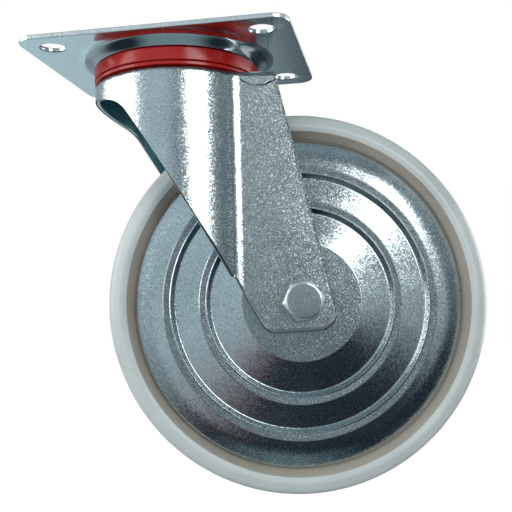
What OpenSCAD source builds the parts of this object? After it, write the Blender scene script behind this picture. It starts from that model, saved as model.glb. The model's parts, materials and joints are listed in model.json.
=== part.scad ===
// Swivel castor with a mounting plate, a pressed fork and a polyamide wheel.
// Origin: middle of the plate's top face, on the swivel axis. +Z up, millimetres.

/* [Mounting plate] */
// Length of the plate along X
plate_length = 140; // [130:1:160]
// Width of the plate along Y
plate_width = 110; // [106:1:130]
// Sheet thickness of the plate
plate_thickness = 2.5; // [2:0.5:4]
// Corner radius of the plate
plate_corner = 9; // [4:1:14]
// Hole spacing along X
hole_spacing_x = 110; // [104:1:116]
// Hole spacing along Y
hole_spacing_y = 80; // [78:1:86]
// Diameter of the four mounting holes
hole_diameter = 13; // [9:0.5:13]

/* [Fork] */
// Angle of the fork about the swivel axis at rest
swivel_angle = 13; // [-45:1:45]
// Outer radius of the round crown
crown_radius = 44.5; // [43.5:0.5:44.5]
// Half the outer width across the two legs
leg_half_width = 32.5; // [32:0.5:33.5]
// Sheet thickness of the fork
fork_sheet = 3; // [2.5:0.5:3.5]
// Distance from the swivel axis back to the axle
trail = 63; // [58:1:66]
// Height from the plate's top face down to the axle
axle_drop = 137; // [135:1:150]

/* [Wheel] */
// Outer diameter of the wheel
wheel_diameter = 200; // [190:1:200]
// Width of the tread
tread_width = 48; // [44:1:50]
// Number of stiffening ribs inside the wheel
wheel_ribs = 12; // [6:1:16]

/* [Fasteners and bearings] */
// Diameter of the axle bolt and of the kingpin
bolt_diameter = 12; // [10:1:12]
// Width across the flats of the hexagons
hex_flats = 19; // [17:1:19]
// Number of balls in the upper swivel race
upper_ball_count = 18; // [12:1:19]
// Number of balls in the lower swivel race
lower_ball_count = 20; // [12:1:22]
// Number of balls in each wheel bearing
bearing_ball_count = 9; // [6:1:9]

/* [Hidden] */
$fn = 96;

steel = [0.72, 0.76, 0.78];
dark_steel = [0.50, 0.53, 0.55];
bright_steel = [0.82, 0.85, 0.86];
nylon = [0.88, 0.88, 0.85];
red = [0.72, 0.08, 0.06];
black = [0.08, 0.08, 0.08];
blue = [0.16, 0.34, 0.62];

// Swivel head, heights below the plate's top face
dish_under = -8;
dish_inner = 43.5;
dish_wall = 50;
dish_skirt = 45;
dish_outer = 54;
dish_wall_rise = 3.9;
crown_top = -17;
crown_bend = 3.2;
crown_hole = 15;
ring_inner = 38.4;
ring_outer = 44.9;
ring_top = -8.3;
upper_pitch = 32.5;
upper_ball = 5;
upper_ball_z = -12.5;
lower_pitch = 24;
lower_ball = 3;
lower_ball_z = crown_top - fork_sheet - 2.6;
race_gap = 0.3;
spacer_radius = 12.5;
cup_flat_top = crown_top - fork_sheet - 2;
cup_sheet = 2.5;
cup_rim = 30;
cup_groove_half = 2.9;
cup_drop = 2.17;

// Fasteners
bolt_radius = bolt_diameter / 2;
bore_radius = bolt_radius + 0.1;
head_height = 7.5;
head_turn = -7;
nut_height = 10;
washer_height = 2.5;
washer_radius = 12;
kingpin_end = cup_flat_top - 17;
kingpin_head = 12.5;

// Wheel, distances from its middle plane
wheel_radius = wheel_diameter / 2;
half_tread = tread_width / 2;
shoulder_radius = wheel_radius - 9.3;
disc_radius = wheel_radius - 14;
disc_sheet = 1.2;
disc_edge = 18.2;
plateau = 28.4;
hub_end = 27;
bearing_width = 12;
bearing_outer = 21;
bearing_bore = 10;
bearing_pitch = 15.5;
bearing_ball = 3.1;
groove_radius = bearing_ball + 0.25;
inner_ring = 13.4;
outer_ring = 17.7;
hub_radius = 29;
web_half = 6;
rib_sheet = 3;
rib_reach = 15;

// Fillet between the round crown and a flat leg
fillet = 10;
fillet_y = leg_half_width + fillet;
fillet_x = sqrt(pow(crown_radius + fillet, 2) - pow(fillet_y, 2));
leg_inner = leg_half_width - fork_sheet;
fork_depth = 200;
roof_eaves = 5;

function smooth_step(t) = t <= 0 ? 0 : t >= 1 ? 1 : t * t * (3 - 2 * t);
function arc(centre, radius, from, to, steps) = [
    for (i = [0 : steps])
        let (a = from + (to - from) * i / steps)
            centre + radius * [cos(a), sin(a)]
];
// Points of a round corner at p, between its neighbours a and b
function corner(a, p, b, radius, steps) =
    let (
        u = (a - p) / norm(a - p),
        v = (b - p) / norm(b - p),
        half = acos(u * v) / 2,
        middle = (u + v) / norm(u + v),
        centre = p + middle * radius / sin(half),
        side = u[0] * v[1] - u[1] * v[0] > 0 ? 1 : -1,
        facing = atan2(-middle[1], -middle[0]),
        sweep = 90 - half
    )
    radius == 0 ? [p] : arc(centre, radius, facing + side * sweep, facing - side * sweep, steps);
function spread(from, to, steps) = [for (i = [0 : steps]) from + (to - from) * i / steps];

// ---------------------------------------------------------------- placing

module on_fork() {
    rotate([0, 0, swivel_angle]) children();
}

module on_axle() {
    on_fork() translate([trail, 0, -axle_drop]) children();
}

// The wheel axis becomes Y, and a positive height becomes the far side
module about_axle() {
    on_axle() rotate([-90, 0, 0]) children();
}

module far_side() {
    about_axle() children();
}

module near_side() {
    about_axle() mirror([0, 0, 1]) children();
}

module tube(outer, inner, from, to) {
    translate([0, 0, from]) difference() {
        cylinder(r = outer, h = to - from);
        translate([0, 0, -1]) cylinder(r = inner, h = to - from + 2);
    }
}

module hexagon(height) {
    cylinder(r = hex_flats / 2 / cos(30), h = height, $fn = 6);
}

// A hexagon with its corners turned off on one face
module turned_hexagon(height) {
    corner = hex_flats / 2 / cos(30);
    intersection() {
        hexagon(height);
        rotate_extrude() polygon([
            [0, 0], [corner + 0.2, 0], [corner + 0.2, height - 1.4],
            [hex_flats / 2 - 0.5, height], [0, height]
        ]);
    }
}

// Polygon from corners given as [x, y, radius]
module rounded_polygon(corners) {
    count = len(corners);
    points = [for (c = corners) [c[0], c[1]]];
    polygon([
        for (i = [0 : count - 1])
            each corner(points[(i + count - 1) % count], points[i], points[(i + 1) % count],
                corners[i][2], 6)
    ]);
}

module ball_ring(count, pitch, radius, height) {
    for (i = [0 : count - 1])
        rotate([0, 0, i * 360 / count])
            translate([pitch, 0, height])
                sphere(r = radius, $fn = 32);
}

// ------------------------------------------------------------ plate side

function dish_z(r) =
    abs(r - upper_pitch) < 3.2
        ? max(dish_under, upper_ball_z
            + sqrt(pow(upper_ball + race_gap, 2) - pow(r - upper_pitch, 2)))
        : dish_under
            + dish_wall_rise * smooth_step((r - dish_inner) / (dish_wall - dish_inner))
            + (-plate_thickness - dish_under - dish_wall_rise)
                * smooth_step((r - dish_skirt) / (dish_outer - dish_skirt));

module plate_section() {
    reach = plate_length;
    radii = concat(
        [bolt_radius + 0.05, 20, 26],
        spread(29.2, 35.8, 12),
        spread(dish_inner, dish_outer, 24),
        [reach]
    );
    under = [for (r = radii) [r, dish_z(r)]];
    top = [for (i = [len(radii) - 1 : -1 : 0]) [radii[i], dish_z(radii[i]) + plate_thickness]];
    polygon(concat(under, top));
}

module plate_outline() {
    x = plate_length / 2 - plate_corner;
    y = plate_width / 2 - plate_corner;
    polygon(concat(
        arc([x, y], plate_corner, 0, 90, 8),
        arc([-x, y], plate_corner, 90, 180, 8),
        arc([-x, -y], plate_corner, 180, 270, 8),
        arc([x, -y], plate_corner, 270, 360, 8)
    ));
}

module top_plate() color(steel) {
    rim = 0.6;
    difference() {
        intersection() {
            rotate_extrude() plate_section();
            translate([0, 0, -20]) linear_extrude(height = 30) plate_outline();
        }
        for (sx = [-1, 1], sy = [-1, 1])
            translate([sx * hole_spacing_x / 2, sy * hole_spacing_y / 2, -plate_thickness]) {
                translate([0, 0, -1])
                    cylinder(d = hole_diameter, h = plate_thickness + 2, $fn = 48);
                translate([0, 0, -0.01])
                    cylinder(d1 = hole_diameter + 2 * rim, d2 = hole_diameter, h = rim, $fn = 48);
            }
    }
}

module kingpin() color(dark_steel) {
    seat = dish_under + plate_thickness;
    rotate_extrude() polygon([
        [0, kingpin_end], [bolt_radius - 1, kingpin_end], [bolt_radius, kingpin_end + 1],
        [bolt_radius, seat], [kingpin_head, seat], [kingpin_head, seat + 2.4],
        [kingpin_head - 2, seat + 3.6], [0, seat + 4.2]
    ]);
}

module race_spacer() color(dark_steel) {
    tube(spacer_radius, bore_radius, cup_flat_top, dish_under);
}

function cup_z(r) =
    abs(r - lower_pitch) < cup_groove_half
        ? lower_ball_z - sqrt(pow(lower_ball + race_gap, 2) - pow(r - lower_pitch, 2))
        : r < lower_pitch
            ? cup_flat_top - cup_drop * smooth_step((r - 16) / 5)
            : cup_flat_top - cup_drop * (1 - smooth_step((r - lower_pitch - cup_groove_half) / 3.1));

module lower_race_cup() color(steel) {
    radii = concat(
        [bore_radius, 16],
        spread(17, 21, 4),
        spread(lower_pitch - 2.8, lower_pitch + 2.8, 12),
        spread(27, cup_rim, 4)
    );
    upper = [for (r = radii) [r, cup_z(r)]];
    lower = [for (i = [len(radii) - 1 : -1 : 0]) [radii[i], cup_z(radii[i]) - cup_sheet]];
    rotate_extrude() polygon(concat(upper, lower));
}

module kingpin_washer() color(bright_steel) {
    z = cup_flat_top - cup_sheet;
    tube(washer_radius, bore_radius, z - washer_height, z);
}

module kingpin_nut() color(bright_steel) {
    top = cup_flat_top - cup_sheet - washer_height;
    translate([0, 0, top]) mirror([0, 0, 1]) difference() {
        turned_hexagon(nut_height);
        translate([0, 0, -1]) cylinder(r = bolt_radius + 0.02, h = nut_height + 2);
    }
}

module upper_balls() color(bright_steel) {
    ball_ring(upper_ball_count, upper_pitch, upper_ball, upper_ball_z);
}

module lower_balls() color(bright_steel) {
    ball_ring(lower_ball_count, lower_pitch, lower_ball, lower_ball_z);
}

// ------------------------------------------------------------------ fork

// Plan of the fork, drawn in by an inset: round crown, flat legs and the fillets between.
// Each fillet's ends dip a little into the crown and the leg that it joins.
module fork_plan(inset) {
    reach = 120;
    dip = 0.05;
    facing = atan2(fillet_y, fillet_x);
    half = leg_half_width - inset;
    circle(r = crown_radius - inset);
    translate([0, -half]) square([reach, 2 * half]);
    corner_fill = concat(
        arc([fillet_x, fillet_y], fillet + inset + dip, 274, 176 + facing, 6),
        [[15, half - 4], [fillet_x, half - 4]]
    );
    last = len(corner_fill) - 1;
    polygon(corner_fill);
    polygon([for (i = [last : -1 : 0]) [corner_fill[i][0], -corner_fill[i][1]]]);
}

// Side outline of the fork: corners [x, z, radius] from the crown down the front edge,
// round the axle and back up the rear edge
module fork_side() {
    front = -crown_radius - 6;
    lip = -23;
    rear_top = 47.6;
    rear_slope = 0.235;
    foot = -axle_drop - 15;
    rounded_polygon([
        [front, 0, 0], [front, lip, 0], [-27.7, -33.4, 20], [26, -120.3, 40],
        [trail - 18.4, foot - 1, 8], [rear_top - rear_slope * foot, foot, 10], [rear_top, 0, 0]
    ]);
}

// Roofs with a pressed bend all round. Below the bend they stand wider than the plan.
module crown_roof(inset, bend) {
    r = crown_radius - inset;
    z = crown_top - inset;
    rotate_extrude() {
        translate([0, z - bend]) square([r - bend, bend]);
        translate([0, z - fork_depth]) square([r + roof_eaves, fork_depth - bend]);
        intersection() {
            translate([r - bend, z - bend]) circle(r = bend, $fn = 64);
            translate([0, z - bend - 1]) square([r + 1, bend + 2]);
        }
    }
}

module leg_roof(inset, bend) {
    half = leg_half_width - inset;
    z = crown_top - inset;
    rotate([90, 0, 90]) linear_extrude(height = 110) polygon(concat(
        [[-half - roof_eaves, z - fork_depth], [half + roof_eaves, z - fork_depth],
         [half + roof_eaves, z - bend]],
        arc([half - bend, z - bend], bend, 0, 90, 6),
        arc([bend - half, z - bend], bend, 90, 180, 6),
        [[-half - roof_eaves, z - bend]]
    ));
}

module fork_solid(inset, bend) {
    intersection() {
        translate([0, 0, crown_top - fork_depth + 10])
            linear_extrude(height = fork_depth) fork_plan(inset);
        union() {
            crown_roof(inset, bend);
            leg_roof(inset, bend);
        }
    }
}

module fork() color(steel) {
    on_fork() difference() {
        intersection() {
            fork_solid(0, crown_bend);
            rotate([90, 0, 0]) linear_extrude(height = 120, center = true) fork_side();
        }
        fork_solid(fork_sheet, crown_bend - fork_sheet);
        translate([0, 0, crown_top - 10]) cylinder(r = crown_hole, h = 20);
        rotate_extrude() translate([upper_pitch, upper_ball_z])
            circle(r = upper_ball + race_gap, $fn = 64);
        rotate_extrude() translate([lower_pitch, lower_ball_z])
            circle(r = lower_ball + race_gap, $fn = 64);
        translate([trail, 0, -axle_drop]) rotate([90, 0, 0])
            cylinder(r = bore_radius, h = 120, center = true);
    }
}

// Two bands with a narrow groove between them
module seal_ring() color(red) {
    lip = ring_outer - 0.3;
    groove = ring_outer - 1.6;
    groove_low = crown_top + 1.5;
    groove_high = groove_low + 0.7;
    edge = 0.5;
    on_fork() rotate_extrude() polygon([
        [ring_inner, crown_top], [ring_inner, ring_top - edge],
        [ring_inner + 2.8, ring_top], [ring_outer - edge, ring_top],
        [ring_outer, ring_top - edge], [ring_outer, groove_high + 0.3], [lip, groove_high],
        [groove, groove_high], [groove, groove_low], [lip, groove_low], [lip, crown_top]
    ]);
}

// ------------------------------------------------------------------ axle

module axle_bolt() color(bright_steel) {
    tip = leg_half_width + washer_height + 12 + 3;
    about_axle() {
        translate([0, 0, -leg_half_width]) cylinder(r = bolt_radius, h = leg_half_width + tip - 1);
        translate([0, 0, tip - 1]) cylinder(r1 = bolt_radius, r2 = bolt_radius - 1, h = 1);
        translate([0, 0, -leg_half_width]) mirror([0, 0, 1])
            rotate([0, 0, head_turn]) turned_hexagon(head_height);
    }
}

module axle_washer() color(bright_steel) {
    far_side() tube(washer_radius, bore_radius, leg_half_width, leg_half_width + washer_height);
}

module axle_nut() color(bright_steel) {
    seat = leg_half_width + washer_height;
    collar = 8.2;
    far_side() translate([0, 0, seat]) difference() {
        union() {
            turned_hexagon(nut_height);
            cylinder(r = collar, h = 12);
        }
        translate([0, 0, -1]) cylinder(r = bolt_radius + 0.02, h = 14);
        translate([0, 0, nut_height - 1]) cylinder(r = 7.4, h = 2);
    }
}

module nut_insert() color(blue) {
    seat = leg_half_width + washer_height + nut_height - 1;
    far_side() tube(7.38, bolt_radius + 0.01, seat, seat + 2);
}

module axle_tube() color(dark_steel) {
    about_axle() tube(bearing_bore - 0.05, bore_radius, -hub_end, hub_end);
}

module spacer_bush() {
    tube(12, bore_radius, hub_end, leg_inner);
}

module spacer_bush_near() color(bright_steel) { near_side() spacer_bush(); }
module spacer_bush_far() color(bright_steel) { far_side() spacer_bush(); }

// ----------------------------------------------------------------- wheel

// Half section of the polyamide wheel: distance from the axis, then from the middle plane
module wheel_half_section() {
    crown = 9;
    seat = disc_edge - disc_sheet;
    hub_face = plateau - disc_sheet;
    polygon(concat(
        [[bearing_outer, 0], [bearing_outer, hub_face], [hub_radius, hub_face],
         [hub_radius + 3, 9], [hub_radius + 7, web_half], [disc_radius - 12, web_half],
         [disc_radius - 6, 9], [disc_radius - 4, seat], [disc_radius + 0.5, seat],
         [shoulder_radius, half_tread - 0.6]],
        [for (a = [70 : -14 : 0])
            [wheel_radius - crown + crown * cos(a), half_tread - crown * 0.9 + crown * 0.9 * sin(a)]],
        [[wheel_radius, 0]]
    ));
}

module wheel_body() color(nylon) {
    rib_from = hub_radius + 1;
    rib_to = disc_radius - 5;
    about_axle() {
        rotate_extrude() {
            wheel_half_section();
            mirror([0, 1]) wheel_half_section();
        }
        for (i = [0 : wheel_ribs - 1])
            rotate([0, 0, i * 360 / wheel_ribs])
                translate([rib_from, -rib_sheet / 2, -rib_reach])
                    cube([rib_to - rib_from, rib_sheet, 2 * rib_reach]);
    }
}

// Outer face of a side disc: plateau, two pressed steps with narrow lands, rim that curves in
disc_profile = [
    [15, plateau], [31, plateau], [39, 25.7], [47, 23.1], [49.4, 25.2], [52.2, 24.9],
    [59, 23.1], [65.6, 21.2], [68, 23.4], [71, 23.2], [77, 21.6], [82, 19.9],
    [disc_radius, disc_edge]
];

module side_disc() {
    count = len(disc_profile);
    rotate_extrude() polygon(concat(
        disc_profile,
        [for (i = [count - 1 : -1 : 0]) [disc_profile[i][0], disc_profile[i][1] - disc_sheet]]
    ));
}

module side_disc_near() color(steel) { near_side() side_disc(); }
module side_disc_far() color(steel) { far_side() side_disc(); }

// -------------------------------------------------------- wheel bearings

bearing_middle = hub_end - bearing_width / 2;

module ball_groove() {
    rotate_extrude() translate([bearing_pitch, bearing_middle]) circle(r = groove_radius, $fn = 64);
}

module bearing_inner() {
    difference() {
        tube(inner_ring, bearing_bore, hub_end - bearing_width, hub_end);
        ball_groove();
    }
}

module bearing_outer_ring() {
    difference() {
        tube(bearing_outer - 0.02, outer_ring, hub_end - bearing_width, hub_end);
        ball_groove();
    }
}

module bearing_cage() {
    difference() {
        tube(16.5, 14.5, bearing_middle - 4.4, bearing_middle + 4.4);
        ball_ring(bearing_ball_count, bearing_pitch, bearing_ball + 0.2, bearing_middle);
    }
}

module bearing_balls() {
    ball_ring(bearing_ball_count, bearing_pitch, bearing_ball, bearing_middle);
}

module bearing_seal() {
    tube(outer_ring - 0.05, inner_ring + 0.3, hub_end - 1.2, hub_end - 0.4);
}

module bearing_inner_near() color(bright_steel) { near_side() bearing_inner(); }
module bearing_inner_far() color(bright_steel) { far_side() bearing_inner(); }
module bearing_outer_near() color(bright_steel) { near_side() bearing_outer_ring(); }
module bearing_outer_far() color(bright_steel) { far_side() bearing_outer_ring(); }
module bearing_balls_near() color(bright_steel) { near_side() bearing_balls(); }
module bearing_balls_far() color(bright_steel) { far_side() bearing_balls(); }
module bearing_cage_near() color(dark_steel) { near_side() bearing_cage(); }
module bearing_cage_far() color(dark_steel) { far_side() bearing_cage(); }
module bearing_seal_near() color(black) { near_side() bearing_seal(); }
module bearing_seal_far() color(black) { far_side() bearing_seal(); }

top_plate();
kingpin();
race_spacer();
lower_race_cup();
kingpin_washer();
kingpin_nut();
fork();
seal_ring();
upper_balls();
lower_balls();
axle_bolt();
axle_washer();
axle_nut();
nut_insert();
axle_tube();
spacer_bush_near();
spacer_bush_far();
wheel_body();
side_disc_near();
side_disc_far();
bearing_inner_near();
bearing_inner_far();
bearing_outer_near();
bearing_outer_far();
bearing_balls_near();
bearing_balls_far();
bearing_cage_near();
bearing_cage_far();
bearing_seal_near();
bearing_seal_far();
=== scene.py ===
"""Looks of a swivel plate castor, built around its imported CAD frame.

Lengths in the shape functions are millimetres; each finished mesh is scaled to metres.
Plate and head pieces are built in the shared frame, the fork in its own frame (X trails
towards the axle), and wheel pieces about the axle, with their height measured along it.
"""
import json
import math

import bmesh
import bpy
from mathutils import Matrix, Vector
from mathutils.geometry import delaunay_2d_cdt


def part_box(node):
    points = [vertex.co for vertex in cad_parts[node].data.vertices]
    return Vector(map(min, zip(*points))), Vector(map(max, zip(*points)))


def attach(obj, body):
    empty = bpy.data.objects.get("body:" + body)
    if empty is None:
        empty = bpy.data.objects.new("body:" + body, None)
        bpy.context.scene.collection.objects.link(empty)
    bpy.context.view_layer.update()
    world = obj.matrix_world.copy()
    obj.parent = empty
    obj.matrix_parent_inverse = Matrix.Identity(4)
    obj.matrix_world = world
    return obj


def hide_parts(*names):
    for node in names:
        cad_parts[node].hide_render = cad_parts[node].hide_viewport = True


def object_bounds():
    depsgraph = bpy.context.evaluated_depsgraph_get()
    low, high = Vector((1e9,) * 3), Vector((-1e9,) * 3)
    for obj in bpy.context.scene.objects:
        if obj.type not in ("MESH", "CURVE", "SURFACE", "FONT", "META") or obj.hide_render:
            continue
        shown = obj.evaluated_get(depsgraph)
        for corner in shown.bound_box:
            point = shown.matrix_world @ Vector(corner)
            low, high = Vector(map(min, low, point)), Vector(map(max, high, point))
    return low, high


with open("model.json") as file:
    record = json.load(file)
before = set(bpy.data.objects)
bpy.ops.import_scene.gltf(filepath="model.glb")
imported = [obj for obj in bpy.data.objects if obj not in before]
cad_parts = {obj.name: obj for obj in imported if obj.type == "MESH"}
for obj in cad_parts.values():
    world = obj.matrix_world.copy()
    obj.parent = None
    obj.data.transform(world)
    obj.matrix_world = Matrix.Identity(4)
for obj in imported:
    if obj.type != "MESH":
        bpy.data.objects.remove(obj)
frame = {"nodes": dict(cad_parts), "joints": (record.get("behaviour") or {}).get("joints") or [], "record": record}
cad_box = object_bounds()

MM = 0.001
ROUND = 256  # steps round a turned piece

# ------------------------------------------------------------------ sizes from the frame

joints = {joint["name"]: joint for joint in frame["joints"]}
axle = Vector(joints["wheel_spin"]["pos_m"]) / MM
SWIVEL = math.atan2(axle.y, axle.x)
TRAIL = math.hypot(axle.x, axle.y)
AXLE_Z = axle.z


def low_high(node):
    """Lowest and highest corner of a CAD node, in millimetres."""
    low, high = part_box(node)
    return low / MM, high / MM


_, plate_high = low_high("top_plate")
ring_low, ring_high = low_high("seal_ring")
wheel_low, wheel_high = low_high("wheel_body")
cup_low, cup_high = low_high("lower_race_cup")
pin_low, pin_high = low_high("kingpin")
holes = frame["record"]["mounts"][0]["dims"]

PLATE_X = plate_high.x
PLATE_Y = plate_high.y
RING_TOP = ring_high.z
RING_BOTTOM = ring_low.z
RING_OUTER = ring_high.x
CROWN_TOP = ring_low.z
WHEEL = (wheel_high.z - wheel_low.z) / 2

# ------------------------------------------------------------------ sizes as in the CAD source

# The plate's sheet, and the dish round its swivel: depth of the dish's underside, radii where
# its wall and its skirt start and end, and how much of the rise the wall takes
PLATE = 2.5
PLATE_CORNER = 9
DISH = -8
DISH_INNER = 43.5
DISH_WALL = 50
DISH_SKIRT = 45
DISH_OUTER = 54
DISH_WALL_RISE = 3.9
# The fork: radius of its crown, half width over its legs, its sheet, radius of the fillet from
# crown to leg, radius of the bend at its top, and where the leg's rear edge would meet height 0
# and how far it leans per unit of height
CROWN = 44.5
LEG = 32.5
SHEET = 3
FILLET = 10
BEND = 3.2
REAR_AT = 47.6
REAR_LEAN = 0.235
# The wheel, bolts and washers: radii, and heights along the axle or the swivel
HALF_TREAD = 24
BOLT = 6
BORE = BOLT + 0.1
WASHER = 12
WASHER_HEIGHT = 2.5
BEARING_FACE = 27
CUP_SHEET = 2.5

# ------------------------------------------------------------------ frames of the pieces

SHARED = Matrix.Identity(4)
FORK = Matrix.Rotation(SWIVEL, 4, "Z")
AXLE = FORK @ Matrix.Translation((TRAIL, 0, AXLE_Z)) @ Matrix.Rotation(math.radians(-90), 4, "X")
NEAR = AXLE @ Matrix.Rotation(math.pi, 4, "X")
FAR = AXLE


# ------------------------------------------------------------------ outlines

def arc(centre, radius, start, end, steps):
    """Points of an arc, angles in degrees."""
    angles = [math.radians(start + (end - start) * i / steps) for i in range(steps + 1)]
    return [(centre[0] + radius * math.cos(a), centre[1] + radius * math.sin(a)) for a in angles]


def circle(centre, radius, steps):
    """Points of a full circle."""
    return arc(centre, radius, 0, 360 - 360 / steps, steps - 1)


def rounded(corners, steps=4):
    """Closed outline from corners given as (x, y, radius)."""
    out = []
    count = len(corners)
    for i, (x, y, radius) in enumerate(corners):
        if radius == 0:
            out.append((x, y))
            continue
        here = Vector((x, y))
        to_a = Vector(corners[i - 1][:2]) - here
        to_b = Vector(corners[(i + 1) % count][:2]) - here
        u, v = to_a.normalized(), to_b.normalized()
        half = math.acos(max(-1, min(1, u.dot(v)))) / 2
        if half > math.radians(89.5):
            out.append((x, y))
            continue
        reach = min(radius / math.tan(half), 0.48 * to_a.length, 0.48 * to_b.length)
        radius = reach * math.tan(half)
        middle = (u + v).normalized()
        centre = here + middle * radius / math.sin(half)
        facing = math.atan2(-middle.y, -middle.x)
        side = 1 if u.x * v.y - u.y * v.x > 0 else -1
        sweep = math.pi / 2 - half
        for k in range(steps + 1):
            a = facing + side * sweep * (1 - 2 * k / steps)
            out.append((centre.x + radius * math.cos(a), centre.y + radius * math.sin(a)))
    return out


def smooth(t):
    """Eases from 0 to 1 while t goes from 0 to 1."""
    t = max(0.0, min(1.0, t))
    return t * t * (3 - 2 * t)


# ------------------------------------------------------------------ mesh making

def finish_piece(name, points, faces, place, body, replaced, materials, face_material=None,
                 sharp=38):
    """Turns points and faces into a piece in the shared frame that rides on a body.
    Edges that turn by more than `sharp` degrees stay sharp."""
    mesh = bpy.data.meshes.new(name)
    mesh.from_pydata([tuple(p) for p in points], [], faces)
    for material in materials:
        mesh.materials.append(material)
    if face_material:
        mesh.polygons.foreach_set("material_index", face_material)
    mesh.transform(Matrix.Scale(MM, 4) @ place)
    work = bmesh.new()
    work.from_mesh(mesh)
    bmesh.ops.remove_doubles(work, verts=work.verts, dist=0.00001)
    bmesh.ops.recalc_face_normals(work, faces=work.faces)
    work.to_mesh(mesh)
    work.free()
    mesh.polygons.foreach_set("use_smooth", [True] * len(mesh.polygons))
    mesh.set_sharp_from_angle(angle=math.radians(sharp))
    piece = bpy.data.objects.new(name, mesh)
    bpy.context.scene.collection.objects.link(piece)
    weighted = piece.modifiers.new("weighted_normals", "WEIGHTED_NORMAL")
    weighted.keep_sharp = True
    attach(piece, body)
    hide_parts(*replaced)


def revolved(outline, steps):
    """Points and faces of a closed outline of (radius, height) turned about Z."""
    points, faces = [], []
    count = len(outline)
    for i in range(steps):
        a = 2 * math.pi * i / steps
        points += [(r * math.cos(a), r * math.sin(a), h) for r, h in outline]
    for i in range(steps):
        j = (i + 1) % steps
        for k in range(count):
            m = (k + 1) % count
            if outline[k][0] < 1e-6 and outline[m][0] < 1e-6:
                continue
            faces.append((i * count + k, j * count + k, j * count + m, i * count + m))
    return points, faces


def turned(name, corners, place, body, replaced, material, steps=ROUND, arc_steps=4):
    """A turned or pressed round piece from corners (radius, height, rounding)."""
    points, faces = revolved(rounded(corners, arc_steps), steps)
    finish_piece(name, points, faces, place, body, replaced, [material])


def band(loop_a, loop_b):
    """Faces between two closed loops of point numbers."""
    count = len(loop_a)
    return [(loop_a[i], loop_a[(i + 1) % count], loop_b[(i + 1) % count], loop_b[i])
            for i in range(count)]


def flat_fill(points, loops):
    """Triangles of a flat face: the first loop is its outline, the others are holes."""
    flat, edges, numbers = [], [], []
    for loop in loops:
        first = len(flat)
        flat += [Vector(points[v][:2]) for v in loop]
        numbers += list(loop)
        edges += [(first + i, first + (i + 1) % len(loop)) for i in range(len(loop))]
    _, _, faces, _, _, _ = delaunay_2d_cdt(flat, edges, [], 1, 1e-6)
    outline, *gaps = [[Vector(points[v][:2]) for v in loop] for loop in loops]
    kept = []
    for face in faces:
        middle = sum((flat[v] for v in face), Vector((0, 0))) / len(face)
        if inside(middle, outline) and not any(inside(middle, gap) for gap in gaps):
            kept.append(tuple(numbers[v] for v in face))
    return kept


def inside(p, outline):
    """Whether a flat point lies within a closed outline."""
    hit = False
    for i, a in enumerate(outline):
        b = outline[i - 1]
        if (a.y > p.y) != (b.y > p.y):
            if p.x < (b.x - a.x) * (p.y - a.y) / (b.y - a.y) + a.x:
                hit = not hit
    return hit


# ------------------------------------------------------------------ materials

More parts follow.
